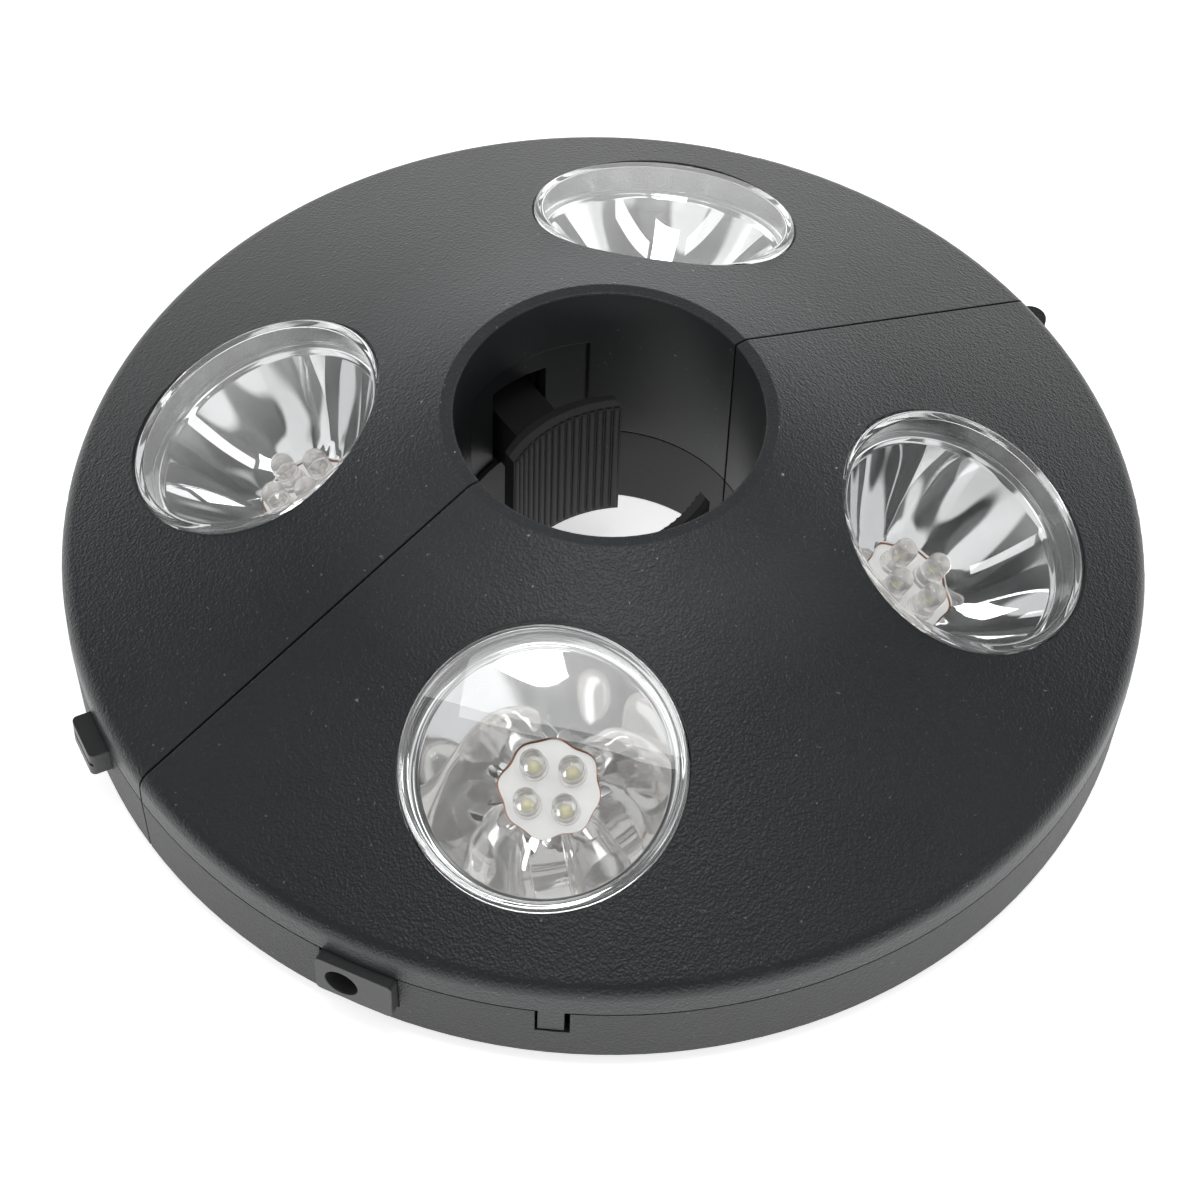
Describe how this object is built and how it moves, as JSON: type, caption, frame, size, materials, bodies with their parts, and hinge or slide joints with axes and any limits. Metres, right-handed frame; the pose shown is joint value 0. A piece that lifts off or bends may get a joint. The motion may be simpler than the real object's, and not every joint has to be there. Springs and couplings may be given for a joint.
{
  "type": "patio umbrella light",
  "caption": "Low conical light in two hinged halves that clamps round an umbrella pole, with lamps under clear round caps, sprung grip pads and battery doors.",
  "frame": {"origin": "on the axis of the pole hole, in the flat back face", "axes": "+Z out of the lamp side along the pole hole, X along the split between the halves with the hinge at +X and the latch at -X, +Y through the back half"},
  "size_m": [0.2288, 0.22, 0.0645],
  "materials": {
    "cover": "fine leathery grain",
    "base": "fine sand grain",
    "inner_plastic": "smooth moulded",
    "button_plastic": "fine grain",
    "plate_plastic": "satin",
    "pad_rubber": "ribbed",
    "spring_steel": "drawn wire",
    "screw_steel": "zinc plated",
    "contact_metal": "nickel plated",
    "clear_lens": "clear polished plastic",
    "chromed_bowl": "vacuum metallised mirror",
    "lamp_board": "white solder mask",
    "led_resin": "clear epoxy over phosphor",
    "circuit_board": "green solder mask",
    "cell_wrap": "plain shrink wrap"
  },
  "bodies": {
    "back_half": {"back_cover": "cover", "back_base": "base", "hinge_pin": "spring_steel", "back_clamp_guide": "inner_plastic", "back_clamp_spring": "spring_steel", "release_spring": "spring_steel", "power_switch": "inner_plastic", "back_cells": "cell_wrap", "back_contacts": "contact_metal", "back_screws": "screw_steel", "back_right_lens": "clear_lens", "back_right_reflector": "chromed_bowl", "back_right_led_board": "lamp_board", "back_right_leds": "led_resin", "back_left_lens": "clear_lens", "back_left_reflector": "chromed_bowl", "back_left_led_board": "lamp_board", "back_left_leds": "led_resin"},
    "front_half": {"front_cover": "cover", "front_base": "base", "front_clamp_guide": "inner_plastic", "front_clamp_spring": "spring_steel", "jack_plate": "plate_plastic", "dc_socket": "inner_plastic", "control_board": "circuit_board", "front_cells": "cell_wrap", "front_contacts": "contact_metal", "front_screws": "screw_steel", "front_right_lens": "clear_lens", "front_right_reflector": "chromed_bowl", "front_right_led_board": "lamp_board", "front_right_leds": "led_resin", "front_left_lens": "clear_lens", "front_left_reflector": "chromed_bowl", "front_left_led_board": "lamp_board", "front_left_leds": "led_resin"},
    "back_clamp": {"back_clamp_carrier": "inner_plastic", "back_grip_pad": "pad_rubber"},
    "front_clamp": {"front_clamp_carrier": "inner_plastic", "front_grip_pad": "pad_rubber"},
    "release_button": {"release_button": "button_plastic"},
    "power_button": {"power_button": "button_plastic"},
    "back_battery_door": {"back_battery_door": "base"},
    "front_battery_door": {"front_battery_door": "base"}
  },
  "joints": [
    {"name": "half_hinge", "type": "hinge", "parent": "back_half", "child": "front_half", "pos_m": [0.1125, 0, 0.012], "axis": [0, 0, 1], "range_deg": [0, 120]},
    {"name": "back_clamp_slide", "type": "slide", "parent": "back_half", "child": "back_clamp", "axis": [0, 1, 0], "range_m": [0, 0.01], "stiffness_N_per_m": 900, "deforming": ["back_clamp_spring"]},
    {"name": "front_clamp_slide", "type": "slide", "parent": "front_half", "child": "front_clamp", "axis": [0, -1, 0], "range_m": [0, 0.01], "stiffness_N_per_m": 900, "deforming": ["front_clamp_spring"]},
    {"name": "release_button_slide", "type": "slide", "parent": "back_half", "child": "release_button", "axis": [0.9848, -0.1736, 0], "range_m": [0, 0.0025], "stiffness_N_per_m": 600, "deforming": ["release_spring"]},
    {"name": "power_button_slide", "type": "slide", "parent": "back_half", "child": "power_button", "axis": [0.5, -0.866, 0], "range_m": [0, 0.0012], "stiffness_N_per_m": 500},
    {"name": "back_door_slide", "type": "slide", "parent": "back_half", "child": "back_battery_door", "axis": [0, 1, 0], "range_m": [0, 0.045]},
    {"name": "front_door_slide", "type": "slide", "parent": "front_half", "child": "front_battery_door", "axis": [0, -1, 0], "range_m": [0, 0.045]}
  ]
}
